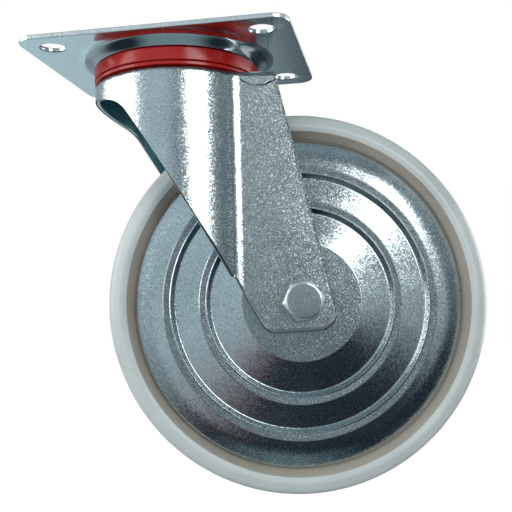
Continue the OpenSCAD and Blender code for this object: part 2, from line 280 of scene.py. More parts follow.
class Nodes:
    """Short hand for building one material's node tree."""

    def __init__(self, name):
        self.material = bpy.data.materials.new(name)
        self.material.use_nodes = True
        self.tree = self.material.node_tree
        self.shader = self.tree.nodes["Principled BSDF"]
        self.place = self.add("ShaderNodeTexCoord").outputs["Object"]

    def add(self, kind, **settings):
        node = self.tree.nodes.new(kind)
        for key, value in settings.items():
            setattr(node, key, value)
        return node

    def link(self, source, target):
        self.tree.links.new(source, target)

    def stretched(self, scale, turn=(0, 0, 0)):
        """The object's coordinates, scaled and turned."""
        node = self.add("ShaderNodeMapping")
        node.inputs["Scale"].default_value = scale
        node.inputs["Rotation"].default_value = turn
        self.link(self.place, node.inputs["Vector"])
        return node.outputs["Vector"]

    def noise(self, size_mm, detail, rough, vector=None):
        node = self.add("ShaderNodeTexNoise")
        node.inputs["Scale"].default_value = 1 / (size_mm * MM)
        node.inputs["Detail"].default_value = detail
        node.inputs["Roughness"].default_value = rough
        self.link(vector or self.place, node.inputs["Vector"])
        return node.outputs["Fac"]

    def facets(self, size_mm, lean):
        """The surface normal, leant a little in a direction of its own in each crystal."""
        cells = self.add("ShaderNodeTexVoronoi")
        cells.inputs["Scale"].default_value = 1 / (size_mm * MM)
        self.link(self.place, cells.inputs["Vector"])
        own = self.add("ShaderNodeVectorMath", operation="SUBTRACT")
        self.link(cells.outputs["Color"], own.inputs[0])
        own.inputs[1].default_value = (0.5, 0.5, 0.5)
        leant = self.add("ShaderNodeVectorMath", operation="MULTIPLY_ADD")
        self.link(own.outputs["Vector"], leant.inputs[0])
        leant.inputs[1].default_value = (lean, lean, lean)
        self.link(self.add("ShaderNodeNewGeometry").outputs["Normal"], leant.inputs[2])
        unit = self.add("ShaderNodeVectorMath", operation="NORMALIZE")
        self.link(leant.outputs["Vector"], unit.inputs[0])
        return unit.outputs["Vector"]

    def spread(self, value, low, high, to_low, to_high):
        """Maps low..high of a value to to_low..to_high, clamped."""
        node = self.add("ShaderNodeMapRange")
        for key, number in (("From Min", low), ("From Max", high),
                            ("To Min", to_low), ("To Max", to_high)):
            node.inputs[key].default_value = number
        self.link(value, node.inputs["Value"])
        return node.outputs["Result"]

    def mix(self, factor, a, b):
        node = self.add("ShaderNodeMix", data_type="RGBA")
        self.link(factor, node.inputs["Factor"])
        for socket, colour in ((node.inputs[6], a), (node.inputs[7], b)):
            if isinstance(colour, tuple):
                socket.default_value = (*colour, 1)
            else:
                self.link(colour, socket)
        return node.outputs[2]

    def math(self, operation, a, b):
        node = self.add("ShaderNodeMath", operation=operation)
        for socket, value in zip(node.inputs, (a, b)):
            if isinstance(value, (int, float)):
                socket.default_value = value
            else:
                self.link(value, socket)
        return node.outputs[0]

    def bump(self, height, depth_mm, onto=None):
        node = self.add("ShaderNodeBump")
        node.inputs["Distance"].default_value = depth_mm * MM
        self.link(height, node.inputs["Height"])
        if onto:
            self.link(onto, node.inputs["Normal"])
        return node.outputs["Normal"]

    def set(self, **values):
        """Sets or links the shader's sockets by name, with _ for a space."""
        for key, value in values.items():
            socket = self.shader.inputs[key.replace("_", " ")]
            if hasattr(value, "links") or hasattr(value, "is_linked"):
                self.link(value, socket)
            elif isinstance(value, tuple):
                socket.default_value = (*value, 1)
            else:
                socket.default_value = value


CRYSTAL_MM = 0.55
SCRATCH_MM = 0.42
FULL_LEAN = 0.16


def zinc(name, dark, light, roughness, grain, scratch):
    """Bright zinc plate on steel: cool tint, crystals that sparkle and short fine scratches.
    Grain and scratch are shares of the full lean of the crystals and depth of the scratches."""
    n = Nodes(name)
    cloud = n.noise(18, 3, 0.6)
    crystal = n.noise(CRYSTAL_MM, 1, 0.6)
    tone = n.math("ADD", n.math("MULTIPLY", cloud, 0.2), n.math("MULTIPLY", crystal, 0.8))
    colour = n.mix(n.spread(tone, 0.36, 0.64, 0, 1), dark, light)
    rough_cloud = n.spread(cloud, 0.3, 0.7, roughness * 0.93, roughness * 1.07)
    rough = n.math("ADD", rough_cloud, n.spread(crystal, 0.3, 0.7, -0.05, 0.05))
    along = n.noise(SCRATCH_MM, 0, 0.5, n.stretched((0.07, 1, 1), (0.3, 0.5, 0.9)))
    askew = n.noise(SCRATCH_MM, 0, 0.5, n.stretched((1, 0.07, 1), (0.9, 0.2, 0.4)))
    scored = n.math("MAXIMUM", n.spread(along, 0.74, 0.80, 0, 1), n.spread(askew, 0.75, 0.80, 0, 1))
    leant = n.facets(CRYSTAL_MM, FULL_LEAN * grain)
    n.set(Metallic=1.0, Base_Color=colour, Roughness=rough,
          Normal=n.bump(scored, 0.012 * scratch, onto=leant))
    return n.material


def polyamide(name, dark, light):
    """Cast polyamide: milky natural white, slightly translucent, softly glossy."""
    n = Nodes(name)
    cloud = n.noise(30, 3, 0.5)
    colour = n.mix(n.spread(cloud, 0.3, 0.7, 0, 1), dark, light)
    ripple = n.noise(9, 2, 0.5)
    pore = n.noise(0.8, 2, 0.6)
    rough = n.spread(cloud, 0.3, 0.7, 0.26, 0.38)
    n.set(Base_Color=colour, Roughness=rough,
          Normal=n.bump(pore, 0.008, onto=n.bump(ripple, 0.12)))
    n.shader.inputs["Subsurface Weight"].default_value = 0.35
    n.shader.inputs["Subsurface Scale"].default_value = 0.006
    n.shader.inputs["Subsurface Radius"].default_value = (1.0, 0.95, 0.85)
    n.shader.inputs["IOR"].default_value = 1.53
    return n.material


def plastic(name, dark, light, roughness, mottle_mm=14):
    """Moulded plastic with a soft mottle and a fine moulding grain."""
    n = Nodes(name)
    cloud = n.noise(mottle_mm, 3, 0.6)
    grain = n.noise(0.5, 2, 0.6)
    n.set(Base_Color=n.mix(n.spread(cloud, 0.3, 0.7, 0, 1), dark, light),
          Roughness=n.spread(grain, 0.3, 0.7, roughness * 0.8, roughness * 1.25),
          Normal=n.bump(grain, 0.01))
    return n.material


def cut_edge(name):
    """Sheared sheet edge: bright, torn across its thickness."""
    n = Nodes(name)
    torn = n.noise(0.7, 3, 0.7, n.stretched((1, 1, 0.25)))
    n.set(Metallic=1.0,
          Base_Color=n.mix(n.spread(torn, 0.35, 0.65, 0, 1), (0.62, 0.66, 0.67), (0.92, 0.94, 0.94)),
          Roughness=n.spread(torn, 0.3, 0.7, 0.32, 0.5),
          Normal=n.bump(torn, 0.12))
    return n.material


ZINC_PLATE = zinc("zinc_plate", (0.54, 0.61, 0.63), (0.66, 0.73, 0.75),
                  roughness=0.15, grain=0.12, scratch=0.6)
ZINC_FORK = zinc("zinc_fork", (0.45, 0.50, 0.515), (0.77, 0.83, 0.845),
                 roughness=0.20, grain=0.75, scratch=0.8)
# The fork's inner face: a darker teal zinc, painted teal shade and reflection for the inside of the fork
ZINC_INSIDE_TEAL_SHADE = zinc("zinc_inside_painted_teal_shade", (0.16, 0.36, 0.42), (0.30, 0.56, 0.62),
                   roughness=0.3, grain=0.4, scratch=1.0)
# Near-white zinc for the outer band of the fork's rounded sheet edge: a painted edge highlight
ZINC_EDGE_HIGHLIGHT = zinc("zinc_painted_edge_highlight", (0.92, 0.95, 0.95), (0.97, 0.99, 0.99),
                 roughness=0.34, grain=0.2, scratch=0.3)
# Dark zinc for the bolt head's flanks and the fork edge's outer rounding: painted shade
ZINC_PAINTED_SHADE = zinc("zinc_painted_shade", (0.22, 0.26, 0.27), (0.34, 0.38, 0.39),
                  roughness=0.18, grain=0.12, scratch=0.5)
ZINC_DISC = zinc("zinc_disc", (0.40, 0.46, 0.48), (0.74, 0.81, 0.84),
                 roughness=0.17, grain=0.42, scratch=0.8)
# Near-white, rougher zinc for the bolt head's chamfer: a painted highlight
ZINC_CHAMFER_HIGHLIGHT = zinc("zinc_painted_chamfer_highlight", (0.90, 0.95, 0.96), (0.97, 0.99, 0.99),
                    roughness=0.44, grain=0.12, scratch=0.5)
ZINC_BOLT = zinc("zinc_fastener", (0.72, 0.79, 0.80), (0.88, 0.93, 0.94),
                 roughness=0.14, grain=0.12, scratch=0.5)
STEEL_BALL = zinc("bearing_steel", (0.62, 0.63, 0.64), (0.74, 0.75, 0.76),
                  roughness=0.10, grain=0.1, scratch=0.2)
STEEL_CAGE = zinc("cage_steel", (0.34, 0.35, 0.36), (0.46, 0.47, 0.48),
                  roughness=0.35, grain=0.4, scratch=0.4)
SHEARED = cut_edge("sheared_edge")
WHITE = polyamide("white_polyamide", (0.58, 0.61, 0.60), (0.66, 0.69, 0.68))
# Darker, browner polyamide for the tyre's recess round the discs and the covered ribs: painted recess shade,
# tinted browner
RECESS_SHADE = polyamide("polyamide_painted_recess_shade", (0.42, 0.38, 0.32), (0.50, 0.455, 0.385))
RED = plastic("red_plastic", (0.40, 0.010, 0.008), (0.50, 0.016, 0.011), roughness=0.20)
BLUE = plastic("blue_nylon", (0.02, 0.08, 0.30), (0.04, 0.12, 0.38), roughness=0.4, mottle_mm=4)
RUBBER = plastic("black_rubber", (0.012, 0.012, 0.012), (0.03, 0.03, 0.03), roughness=0.5, mottle_mm=5)

# Places in the list of materials of a pressed sheet; the inner face's place holds a painted teal shade, and the
# two edge places a painted highlight and painted shade
SKIN, CUT, INNER_TEAL_SHADE, RIM_HIGHLIGHT, SHADED = range(5)


# ------------------------------------------------------------------ plate and head

def plate_outline(inset):
    """The plate's outline at an inset from its edge."""
    x = PLATE_X - PLATE_CORNER
    y = PLATE_Y - PLATE_CORNER
    r = PLATE_CORNER - inset
    return (arc((x, y), r, 0, 90, 12) + arc((-x, y), r, 90, 180, 12)
            + arc((-x, -y), r, 180, 270, 12) + arc((x, -y), r, 270, 360, 12))


def dish(r):
    """Height of the plate's underside above a radius: a pressed dish round the swivel."""
    wall = smooth((r - DISH_INNER) / (DISH_WALL - DISH_INNER))
    skirt = smooth((r - DISH_SKIRT) / (DISH_OUTER - DISH_SKIRT))
    return DISH + DISH_WALL_RISE * wall + (-PLATE - DISH - DISH_WALL_RISE) * skirt


# Rounded edges of the plate and of its punched holes: (inset or widening, depth below the top)
PLATE_EDGE = [(0.45, 0), (0.13, 0.13), (0, 0.45),
              (0, PLATE - 0.45), (0.13, PLATE - 0.13), (0.45, PLATE)]
HOLE_WALL = [(0.4, 0), (0.12, 0.12), (0, 0.4), (0, PLATE - 0.6), (0.2, PLATE - 0.2), (0.6, PLATE)]
DISH_STEPS = 44


def make_plate():
    points, faces, marks = [], [], []

    def loop(outline, z):
        first = len(points)
        points.extend((x, y, z) for x, y in outline)
        return list(range(first, first + len(outline)))

    def join(loops, mark=SKIN):
        for a, b in zip(loops, loops[1:]):
            made = band(a, b)
            faces.extend(made)
            marks.extend([mark] * len(made))

    outer = [loop(plate_outline(inset), -depth) for inset, depth in PLATE_EDGE]
    join(outer[:3])
    join(outer[2:4], CUT)
    join(outer[3:])

    top_holes, under_holes = [], []
    for sx in (-1, 1):
        for sy in (-1, 1):
            at = (sx * holes["spacing_x_mm"] / 2, sy * holes["spacing_y_mm"] / 2)
            rings = [loop(circle(at, holes["hole_r_mm"] + wider, 48), -depth)
                     for wider, depth in HOLE_WALL]
            join(rings)
            top_holes.append(rings[0])
            under_holes.append(rings[-1])

    start = DISH_INNER - 0.1
    radii = [BORE, 14, 20, 27, 35]
    radii += [start + (DISH_OUTER - start) * i / DISH_STEPS for i in range(DISH_STEPS + 1)]
    discs = {side: [loop(circle((0, 0), r, 192), dish(r) + lift) for r in radii]
             for side, lift in (("under", 0), ("top", PLATE))}
    for rings in discs.values():
        join(rings)
    join([discs["under"][0], discs["top"][0]])
    for outline, gaps, side in ((outer[0], top_holes, "top"), (outer[-1], under_holes, "under")):
        made = flat_fill(points, [outline, *gaps, discs[side][-1]])
        faces.extend(made)
        marks.extend([SKIN] * len(made))
    finish_piece("mounting_plate", points, faces, SHARED, "root", ["top_plate"],
                 [ZINC_PLATE, SHEARED], marks)


# Turned outlines from here on are corners of (radius, height, rounding)

def make_ring():
    inner = 38.4
    lip = RING_OUTER - 0.3
    groove = RING_OUTER - 1.7
    groove_low = RING_BOTTOM + 1.6
    groove_high = RING_BOTTOM + 2.3
    turned("dust_ring", [
        (inner, RING_BOTTOM, 0.2), (inner, RING_TOP - 0.5, 0.2), (41.2, RING_TOP, 0.4),
        (RING_OUTER, RING_TOP, 0.3), (RING_OUTER, groove_high, 0.35),
        (groove, groove_high, 0.1), (groove, groove_low, 0.1),
        (lip, groove_low, 0.25), (lip, RING_BOTTOM, 0.25)
    ], FORK, "swivel", ["seal_ring"], RED)


def make_kingpin():
    seat = DISH + PLATE
    low, high = pin_low.z, pin_high.z
    turned("kingpin_bolt", [
        (0, low, 0), (BOLT - 1, low, 0.3), (BOLT, low + 1, 0.3), (BOLT, seat, 0),
        (12.5, seat, 0.3), (12.5, seat + 2.2, 1.2), (10.5, high - 0.6, 1.5), (7, high, 1),
        (0, high - 0.3, 0)
    ], SHARED, "root", ["kingpin"], ZINC_BOLT, 96)


def make_race_cup():
    top, low = cup_high.z, cup_low.z
    turned("race_cup", [
        (BORE, top, 0.2), (16, top, 1.5), (19.5, top - 2.2, 1.2), (21.2, top - 2.2, 0.3),
        (22, top - 3.2, 1), (24, top - 3.9, 1.5), (26, top - 3.2, 1), (26.9, top - 2.2, 0.3),
        (30, top - 0.2, 0.3), (30, low + 5.6, 0.6), (27, top - 4.4, 1), (24, low, 1.6),
        (20.6, top - 4.6, 1), (18, top - 3.3, 1), (15.5, top - CUP_SHEET, 1),
        (BORE, top - CUP_SHEET, 0.2)
    ], SHARED, "root", ["lower_race_cup"], ZINC_FORK, 160)


# ------------------------------------------------------------------ fork

FILLET_Y = LEG + FILLET
FILLET_X = math.sqrt((CROWN + FILLET) ** 2 - FILLET_Y ** 2)
BLEND = math.atan2(FILLET_Y, FILLET_X)
BEND_Z = CROWN_TOP - BEND
CROWN_BORE = 15


def rear_x(z):
    """Place of the leg's rear edge along X at a height."""
    return REAR_AT - REAR_LEAN * z


# Lower edge of the fork seen from the side, from the crown's front to the leg's rear edge
TRIM_TOP = -23
FOOT = AXLE_Z - 15
TRIM = rounded([
    (-CROWN - 6, TRIM_TOP, 0), (-27.7, -33.4, 20), (26, -120.3, 40), (TRAIL - 18.4, FOOT - 1, 8),
    (rear_x(FOOT), FOOT, 10), (rear_x(TRIM_TOP), TRIM_TOP, 0)
], 12)


def resampled(line, step):
    """Points along a line of points, about one step apart."""
    out = [line[0]]
    for a, b in zip(line, line[1:]):
        length = math.dist(a, b)
        parts = max(1, round(length / step))
        out += [(a[0] + (b[0] - a[0]) * i / parts, a[1] + (b[1] - a[1]) * i / parts)
                for i in range(1, parts + 1)]
    return out


def trim_z(x):
    """Lower edge of the fork's front above a place along X."""
    for a, b in zip(TRIM, TRIM[1:]):
        if a[0] <= x <= b[0]:
            return a[1] + (b[1] - a[1]) * (x - a[0]) / max(b[0] - a[0], 1e-9)
    return TRIM[-1][1]


def fork_columns():
    """Columns of the near side, from the front of the crown to the rear edge of the leg.
    Each is (plan point, plan normal, share of the rear lean, foot)."""
    columns = []
    crown_steps, fillet_steps = 56, 16
    crown_end = math.pi - BLEND
    for i in range(crown_steps + 1):
        a = crown_end * i / crown_steps
        out = Vector((-math.cos(a), -math.sin(a)))
        at = out * CROWN
        columns.append((at, out, 0.0, trim_z(at.x)))
    for i in range(1, fillet_steps + 1):
        a = BLEND + (math.pi / 2 - BLEND) * i / fillet_steps
        at = Vector((FILLET_X - math.cos(a) * FILLET, -FILLET_Y + math.sin(a) * FILLET))
        columns.append((at, Vector((-math.cos(a), -math.sin(a))), 0.0, trim_z(at.x)))
    width = rear_x(BEND_Z) - FILLET_X
    foot = [p for p in resampled(TRIM[:-1], 1.6) if p[0] > FILLET_X + 0.8]
    for x, z in foot:
        share = min(1, (x - FILLET_X) / (width + REAR_LEAN * (BEND_Z - z)))
        columns.append((Vector((FILLET_X + share * width, -LEG)), Vector((0, -1)), share, z))
    return columns


def mirrored(column):
    """The same column on the far side of the fork."""
    at, out, share, foot = column
    return Vector((at.x, -at.y)), Vector((out.x, -out.y)), share, foot


ROWS = 96
TURN_ROWS = 7
# The top share of a long column's rows that is packed closely, and the share of length it covers
DENSE_ROWS = 0.4
DENSE_LENGTH = 0.088


def column_points(column, depth):
    """One column of the sheet at a depth below its outer face, from the top plane down."""
    at, out, share, foot = column
    bend = BEND - depth
    line = []
    for i in range(TURN_ROWS):
        a = math.pi / 2 * (1 - i / TURN_ROWS)
        inset = BEND - bend * math.cos(a)
        z = BEND_Z + bend * math.sin(a)
        line.append((at - out * inset, z))
    length = BEND_Z - foot
    long = smooth((length - 10) / 60)
    for i in range(ROWS + 1):
        even = i / ROWS
        if even < DENSE_ROWS:
            dense = even * DENSE_LENGTH / DENSE_ROWS
        else:
            dense = DENSE_LENGTH + (even - DENSE_ROWS) * (1 - DENSE_LENGTH) / (1 - DENSE_ROWS)
        drop = length * ((1 - long) * even + long * dense)
        line.append((at - out * depth, BEND_Z - drop))
    return [Vector((p.x - share * REAR_LEAN * (z - BEND_Z), p.y, z)) for p, z in line]


PAD_HEIGHT = 0.8
PAD_REACH = 10.2
PAD_BOTTOM = -25.4
PAD_BOW = 4.5


def pad(p):
    """How far the pressed pad at the top of a leg stands out at a point of its face."""
    middle = rear_x(-24) - 10.4
    across = (p.x - middle) / PAD_REACH
    if abs(across) > 1.15:
        return 0
    bottom = PAD_BOTTOM + PAD_BOW * across * across
    below = smooth((p.z - bottom) / 0.45)
    sides = smooth((1.12 - abs(across)) / 0.12)
    return PAD_HEIGHT * below * sides


FORK_MATERIALS = [ZINC_FORK, SHEARED, ZINC_INSIDE_TEAL_SHADE, ZINC_EDGE_HIGHLIGHT, ZINC_PAINTED_SHADE]
RIM_INSET = 1.5
# Points of the rounded edge as (inset, depth), and the materials of the bands between them,
# from the outer face to the inner one: a band of painted highlight, two bands of painted shade,
# the cut edge, then plain zinc
RIM_STEPS = [(0.55, 0.24), (0.16, 0.6), (0, 1.1)]
RIM_BANDS = [RIM_HIGHLIGHT, SHADED, SHADED, CUT, SKIN, SKIN, SKIN]


def fork_rim(outer, inner):
    """The sheet's edge as (outer point, inner point, place in the grid): down one rear edge,
    along the foot, up the other and across the top's rear edge."""
    wide, rows = len(outer), len(outer[0])
    places = [(0, j) for j in range(rows)]
    places += [(i, rows - 1) for i in range(1, wide)]
    places += [(wide - 1, j) for j in range(rows - 2, -1, -1)]
    rim = [(outer[i][j].copy(), inner[i][j].copy(), (i, j)) for i, j in places]
    last, first = rim[-1], rim[0]
    top_steps = 10
    for k in range(1, top_steps):
        t = k / top_steps
        rim.append((last[0].lerp(first[0], t), last[1].lerp(first[1], t), None))
    return rim


def rounded_rim(rim):
    """Where the outer and the inner face end at each rim point, and the edge between them."""
    outer_ends, inner_ends, edges = [], [], []
    for k, (o, i, _) in enumerate(rim):
        along = (rim[(k + 1) % len(rim)][0] - rim[k - 1][0]).normalized()
        down = (o - i).normalized()
        away = along.cross(down).normalized()
        outer_ends.append(o - away * RIM_INSET)
        inner_ends.append(i - away * RIM_INSET)
        edge = [o - away * inset - down * depth for inset, depth in RIM_STEPS]
        edge += [i - away * inset + down * depth for inset, depth in reversed(RIM_STEPS)]
        edges.append(edge)
    return outer_ends, inner_ends, edges


def make_fork():
    near = fork_columns()
    columns = [mirrored(column) for column in reversed(near[1:])] + near
    outer = [column_points(column, 0) for column in columns]
    inner = [column_points(column, SHEET) for column in columns]
    wide, rows = len(outer), len(outer[0])
    rim = fork_rim(outer, inner)
    outer_ends, inner_ends, edges = rounded_rim(rim)
    for (_, _, at), outer_end, inner_end in zip(rim, outer_ends, inner_ends):
        if at:
            outer[at[0]][at[1]] = outer_end
            inner[at[0]][at[1]] = inner_end
    for line in outer:
        for p in line:
            if abs(abs(p.y) - LEG) < 0.01:
                p.y += math.copysign(pad(p), p.y)

    points, faces, marks = [], [], []

    def add(p):
        points.append(p)
        return len(points) - 1

    def keep(made, mark=SKIN):
        faces.extend(made)
        marks.extend([mark] * len(made))

    grids = [[[add(p) for p in line] for line in side] for side in (outer, inner)]
    # The inner grid takes the painted teal shade of the fork's inside
    for grid, mark in zip(grids, (SKIN, INNER_TEAL_SHADE)):
        keep([(grid[i][j], grid[i + 1][j], grid[i + 1][j + 1], grid[i][j + 1])
              for i in range(wide - 1) for j in range(rows - 1)], mark)
    rims = [[grid[at[0]][at[1]] if at else add(p) for (_, _, at), p in zip(rim, ends)]
            for grid, ends in zip(grids, (outer_ends, inner_ends))]
    loops = [[add(edge[step]) for edge in edges] for step in range(len(RIM_STEPS) * 2)]
    loops = [rims[0], *loops, rims[1]]
    for a, b, mark in zip(loops, loops[1:], RIM_BANDS):
        keep(band(a, b), mark)

    bore_loops = []
    across_top = 2 * rows + wide - 2
    for grid, ends, z in zip(grids, rims, (CROWN_TOP, CROWN_TOP - SHEET)):
        edge = [line[0] for line in grid] + ends[across_top:]
        hole = [add(Vector((x, y, z))) for x, y in circle((0, 0), CROWN_BORE, 64)]
        bore_loops.append(hole)
        keep(flat_fill(points, [edge, hole]))
    keep(band(*bore_loops))
    finish_piece("fork_shell", points, faces, FORK, "swivel", ["fork"],
                 FORK_MATERIALS, marks)


# ------------------------------------------------------------------ wheel

DISC_SHEET = 1.2
RIM = WHEEL - 14
RIM_HEIGHT = 18.2
# Outer face of a disc: a hub, two raised rings and a dished rim
DISC = [
    (15, 28.4, 0), (30.9, 28.4, 0.9), (46.9, 23.2, 0.9), (49.1, 25.3, 0.2), (49.75, 24.95, 0.2),
    (52.7, 25.2, 0.25), (53.1, 24.75, 0.3), (65.5, 21.2, 0.9), (67.7, 23.45, 0.2),
    (68.35, 23.1, 0.2), (71.4, 23.35, 0.25), (71.8, 22.9, 0.3), (78, 21.3, 40)
]

RIBS = 12
RIB_ENDS = (30, 81)
RIB_SIDES = (-1.5, 1.5)
RIB_HEIGHTS = (-15, 15)
# Sides of a box whose corners are counted by end, then side, then height
BOX = [(0, 1, 3, 2), (4, 6, 7, 5), (0, 4, 5, 1), (2, 3, 7, 6), (0, 2, 6, 4), (1, 5, 7, 3)]


def make_wheel():
    """The polyamide wheel with its ribs; what the discs cover or shade takes a darker, browner polyamide, painted
    recess shade.
    """
    seat = RIM_HEIGHT - 2.4
    half = [
        (21, BEARING_FACE + 0.2, 0.4), (29, BEARING_FACE + 0.2, 1), (31, 10, 2), (35, 6, 2),
        (74, 6, 2), (80, 9, 2), (82, seat, 1), (RIM + 0.6, seat, 0.3),
        (WHEEL - 9.6, HALF_TREAD - 1.0, 1.2), (WHEEL - 7, HALF_TREAD, 3),
        (WHEEL - 0.35, HALF_TREAD - 3.2, 6.5), (WHEEL - 0.15, 8, 10)
    ]
    corners = half + [(r, -h, radius) for r, h, radius in reversed(half)]
    points, faces = revolved(rounded(corners, 7), 320)
    recess_end = WHEEL - 9.7
    white, recess_shaded = 0, 1
    marks = []
    # Faces inside the recess take the painted recess shade
    for face in faces:
        reach = max(math.hypot(points[v][0], points[v][1]) for v in face)
        marks.append(recess_shaded if reach < recess_end else white)
    for i in range(RIBS):
        turn = Matrix.Rotation(2 * math.pi * i / RIBS, 3, "Z")
        first = len(points)
        points += [turn @ Vector((x, y, z)) for x in RIB_ENDS for y in RIB_SIDES for z in RIB_HEIGHTS]
        faces += [tuple(first + v for v in side) for side in BOX]
        marks += [recess_shaded] * len(BOX)
    finish_piece("wheel_tyre", points, faces, AXLE, "wheel", ["wheel_body"],
                 [WHITE, RECESS_SHADE], marks)


def make_disc(name, place):
    under = [(r, h - DISC_SHEET, radius) for r, h, radius in reversed(DISC)]
    lip = RIM_HEIGHT - 2.2
    edge = [
        (RIM, RIM_HEIGHT, 1.5), (RIM, lip, 0.3), (RIM - DISC_SHEET, lip, 0.3),
        (RIM - DISC_SHEET, RIM_HEIGHT - DISC_SHEET, 0.4)
    ]
    turned(name, DISC + edge + under, place, "wheel", [name], ZINC_DISC, 320, 5)


# ------------------------------------------------------------------ fasteners

HEXAGON = 19
HEX_STEPS = 192
HEX_LEVELS = (0.3, 0.55, 0.7, 0.78, 0.85, 0.92, 0.97, 1.0)
CORNER_WEAR = 0.993
FACE_RADIUS = HEXAGON / 2 - 0.65
CHAMFER_SLOPE = 1.75
FACE_LIFT = 0.12
HEAD_HEIGHT = 7.5
HEAD_TURN = 7
NUT_HEIGHT = 10
NUT_BORE = BOLT + 0.02
INSERT = 7.4


def hexagon_solid(height, turn):
    """A forged hexagon with a chamfered outer face; height runs up from its seat."""
    corner = HEXAGON / 2 / math.cos(math.radians(30)) * CORNER_WEAR
    angles = [360 * i / HEX_STEPS for i in range(HEX_STEPS)]
    sides = [min(HEXAGON / 2 / math.cos(math.radians((a - turn) % 60 - 30)), corner) for a in angles]
    rings = []
    for z in [0, 0.35] + [height * share for share in HEX_LEVELS]:
        chamfer = FACE_RADIUS + (height - z) * CHAMFER_SLOPE
        seat_cut = 0.25 if z == 0 else 0
        rings.append([(min(side, chamfer) - seat_cut, z) for side in sides])
    rings.append([(FACE_RADIUS - 0.5, height + FACE_LIFT)] * HEX_STEPS)
    points, faces, loops = [], [], []
    for ring in rings:
        loops.append(list(range(len(points), len(points) + HEX_STEPS)))
        points += [(r * math.cos(math.radians(a)), r * math.sin(math.radians(a)), z)
                   for a, (r, z) in zip(angles, ring)]
    for a, b in zip(loops, loops[1:]):
        faces.extend(band(a, b))
    return points, faces, loops


def continued(points, faces, last, profile):
    """Goes on from a loop with round loops given as (radius, height), or a tip at radius 0."""
    count = len(last)
    for r, z in profile:
        first = len(points)
        if r == 0:
            points.append((0, 0, z))
            faces.extend((last[i], last[(i + 1) % count], first) for i in range(count))
            return None
        points.extend((x, y, z) for x, y in circle((0, 0), r, count))
        here = list(range(first, first + count))
        faces.extend(band(last, here))
        last = here
    return last


def thread_outline(radius, start, end, pitch=1.75, depth=0.55):
    """Outline points of a shank with a rolled thread, as plain grooves."""
    out = []
    z = start
    while z < end - pitch:
        out += [(radius - depth, z), (radius, z + pitch * 0.45), (radius, z + pitch * 0.55)]
        z += pitch
    out += [(radius - depth, z)]
    return out


def make_bolt():
    """The axle bolt, with its head's seat at height 0."""
    # The chamfer's place takes the near-white zinc of the painted highlight
    plain, shaded_flank, chamfer = range(3)
    points, faces, loops = hexagon_solid(HEAD_HEIGHT, HEAD_TURN)
    forged = len(faces) - HEX_STEPS
    top = HEAD_HEIGHT + FACE_LIFT
    continued(points, faces, loops[-1], [(4, top), (0, top)])
    smooth_end = 30
    length = LEG + WASHER_HEIGHT + NUT_HEIGHT + 5
    shank = [(BOLT, 0), (BOLT, -LEG - smooth_end)]
    shank += [(r, -LEG - z) for r, z in thread_outline(BOLT, smooth_end + 1, length - 1)]
    end = -LEG - length
    shank += [(BOLT - 1.0, end + 0.4), (BOLT - 1.4, end), (0, end)]
    continued(points, faces, loops[0], shank)
    marks = []
    # Flank faces of the head take the painted shade material
    for face in faces[:forged]:
        a, b, c = (Vector(points[v]) for v in face[:3])
        up = abs((b - a).cross(c - a).normalized().z)
        marks.append(chamfer if 0.3 < up < 0.95 else shaded_flank)
    marks += [plain] * (len(faces) - forged)
    finish_piece("hex_bolt", points, faces, NEAR @ Matrix.Translation((0, 0, LEG)), "swivel",
                 ["axle_bolt"], [ZINC_BOLT, ZINC_PAINTED_SHADE, ZINC_CHAMFER_HIGHLIGHT], marks, sharp=22)


def make_nut(name, place, body, node, collar=None):
    """A nut with its seat at height 0; a collar, given by its radius, holds a locking insert."""
    points, faces, loops = hexagon_solid(NUT_HEIGHT, 0)
    mouth, chamfer = NUT_HEIGHT + 0.1, 0.7
    profile = []
    if collar:
        mouth, chamfer = NUT_HEIGHT - 1, 0.4
        top = NUT_HEIGHT + 2
        profile = [(collar, top - 1.8), (collar, top - 0.4), (collar - 0.5, top),
                   (INSERT + 0.1, top), (INSERT, top - 0.2), (INSERT, mouth)]
    profile += [(NUT_BORE + 0.8, mouth), (NUT_BORE, mouth - chamfer), (NUT_BORE, 0.6),
                (NUT_BORE + 0.6, 0)]
    last = continued(points, faces, loops[-1], profile)
    faces.extend(band(last, loops[0]))
    finish_piece(name, points, faces, place, body, [node], [ZINC_BOLT], sharp=22)


def make_insert(seat):
    bore = BOLT + 0.01
    outer = INSERT - 0.02
    low, high = seat + NUT_HEIGHT - 1, seat + NUT_HEIGHT + 1
    turned("lock_insert", [
        (bore, low, 0.1), (outer, low, 0.1), (outer, high, 0.1), (bore, high, 0.5)
    ], FAR, "swivel", ["nut_insert"], BLUE, 96)


def make_sleeve(name, place, body, node, start, end, edges):
    """A washer or bush round a bolt, between two heights, with the rounding of each edge."""
    corners = [(BORE, start), (WASHER, start), (WASHER, end), (BORE, end)]
    turned(name, [(*corner, edge) for corner, edge in zip(corners, edges)],
           place, body, [node], ZINC_BOLT, 96)


def make_fasteners():
    make_bolt()
    seat = LEG + WASHER_HEIGHT
    make_sleeve("far_washer", FAR, "swivel", "axle_washer", LEG, seat, (0.1, 0.4, 0.5, 0.3))
    make_nut("lock_nut", FAR @ Matrix.Translation((0, 0, seat)), "swivel", "axle_nut", 8.2)
    make_insert(seat)
    for name, place in (("spacer_bush_near", NEAR), ("spacer_bush_far", FAR)):
        make_sleeve(name, place, "swivel", name, BEARING_FACE, LEG - SHEET, (0.2, 0.4, 0.4, 0.2))
    under = cup_high.z - CUP_SHEET
    low = under - WASHER_HEIGHT
    make_sleeve("head_washer", SHARED, "root", "kingpin_washer", under, low, (0.2, 0.5, 0.5, 0.2))
    flipped = Matrix.Translation((0, 0, low)) @ Matrix.Rotation(math.pi, 4, "X")
    make_nut("head_nut", flipped, "root", "kingpin_nut")


# ------------------------------------------------------------------ CAD nodes shown as they are

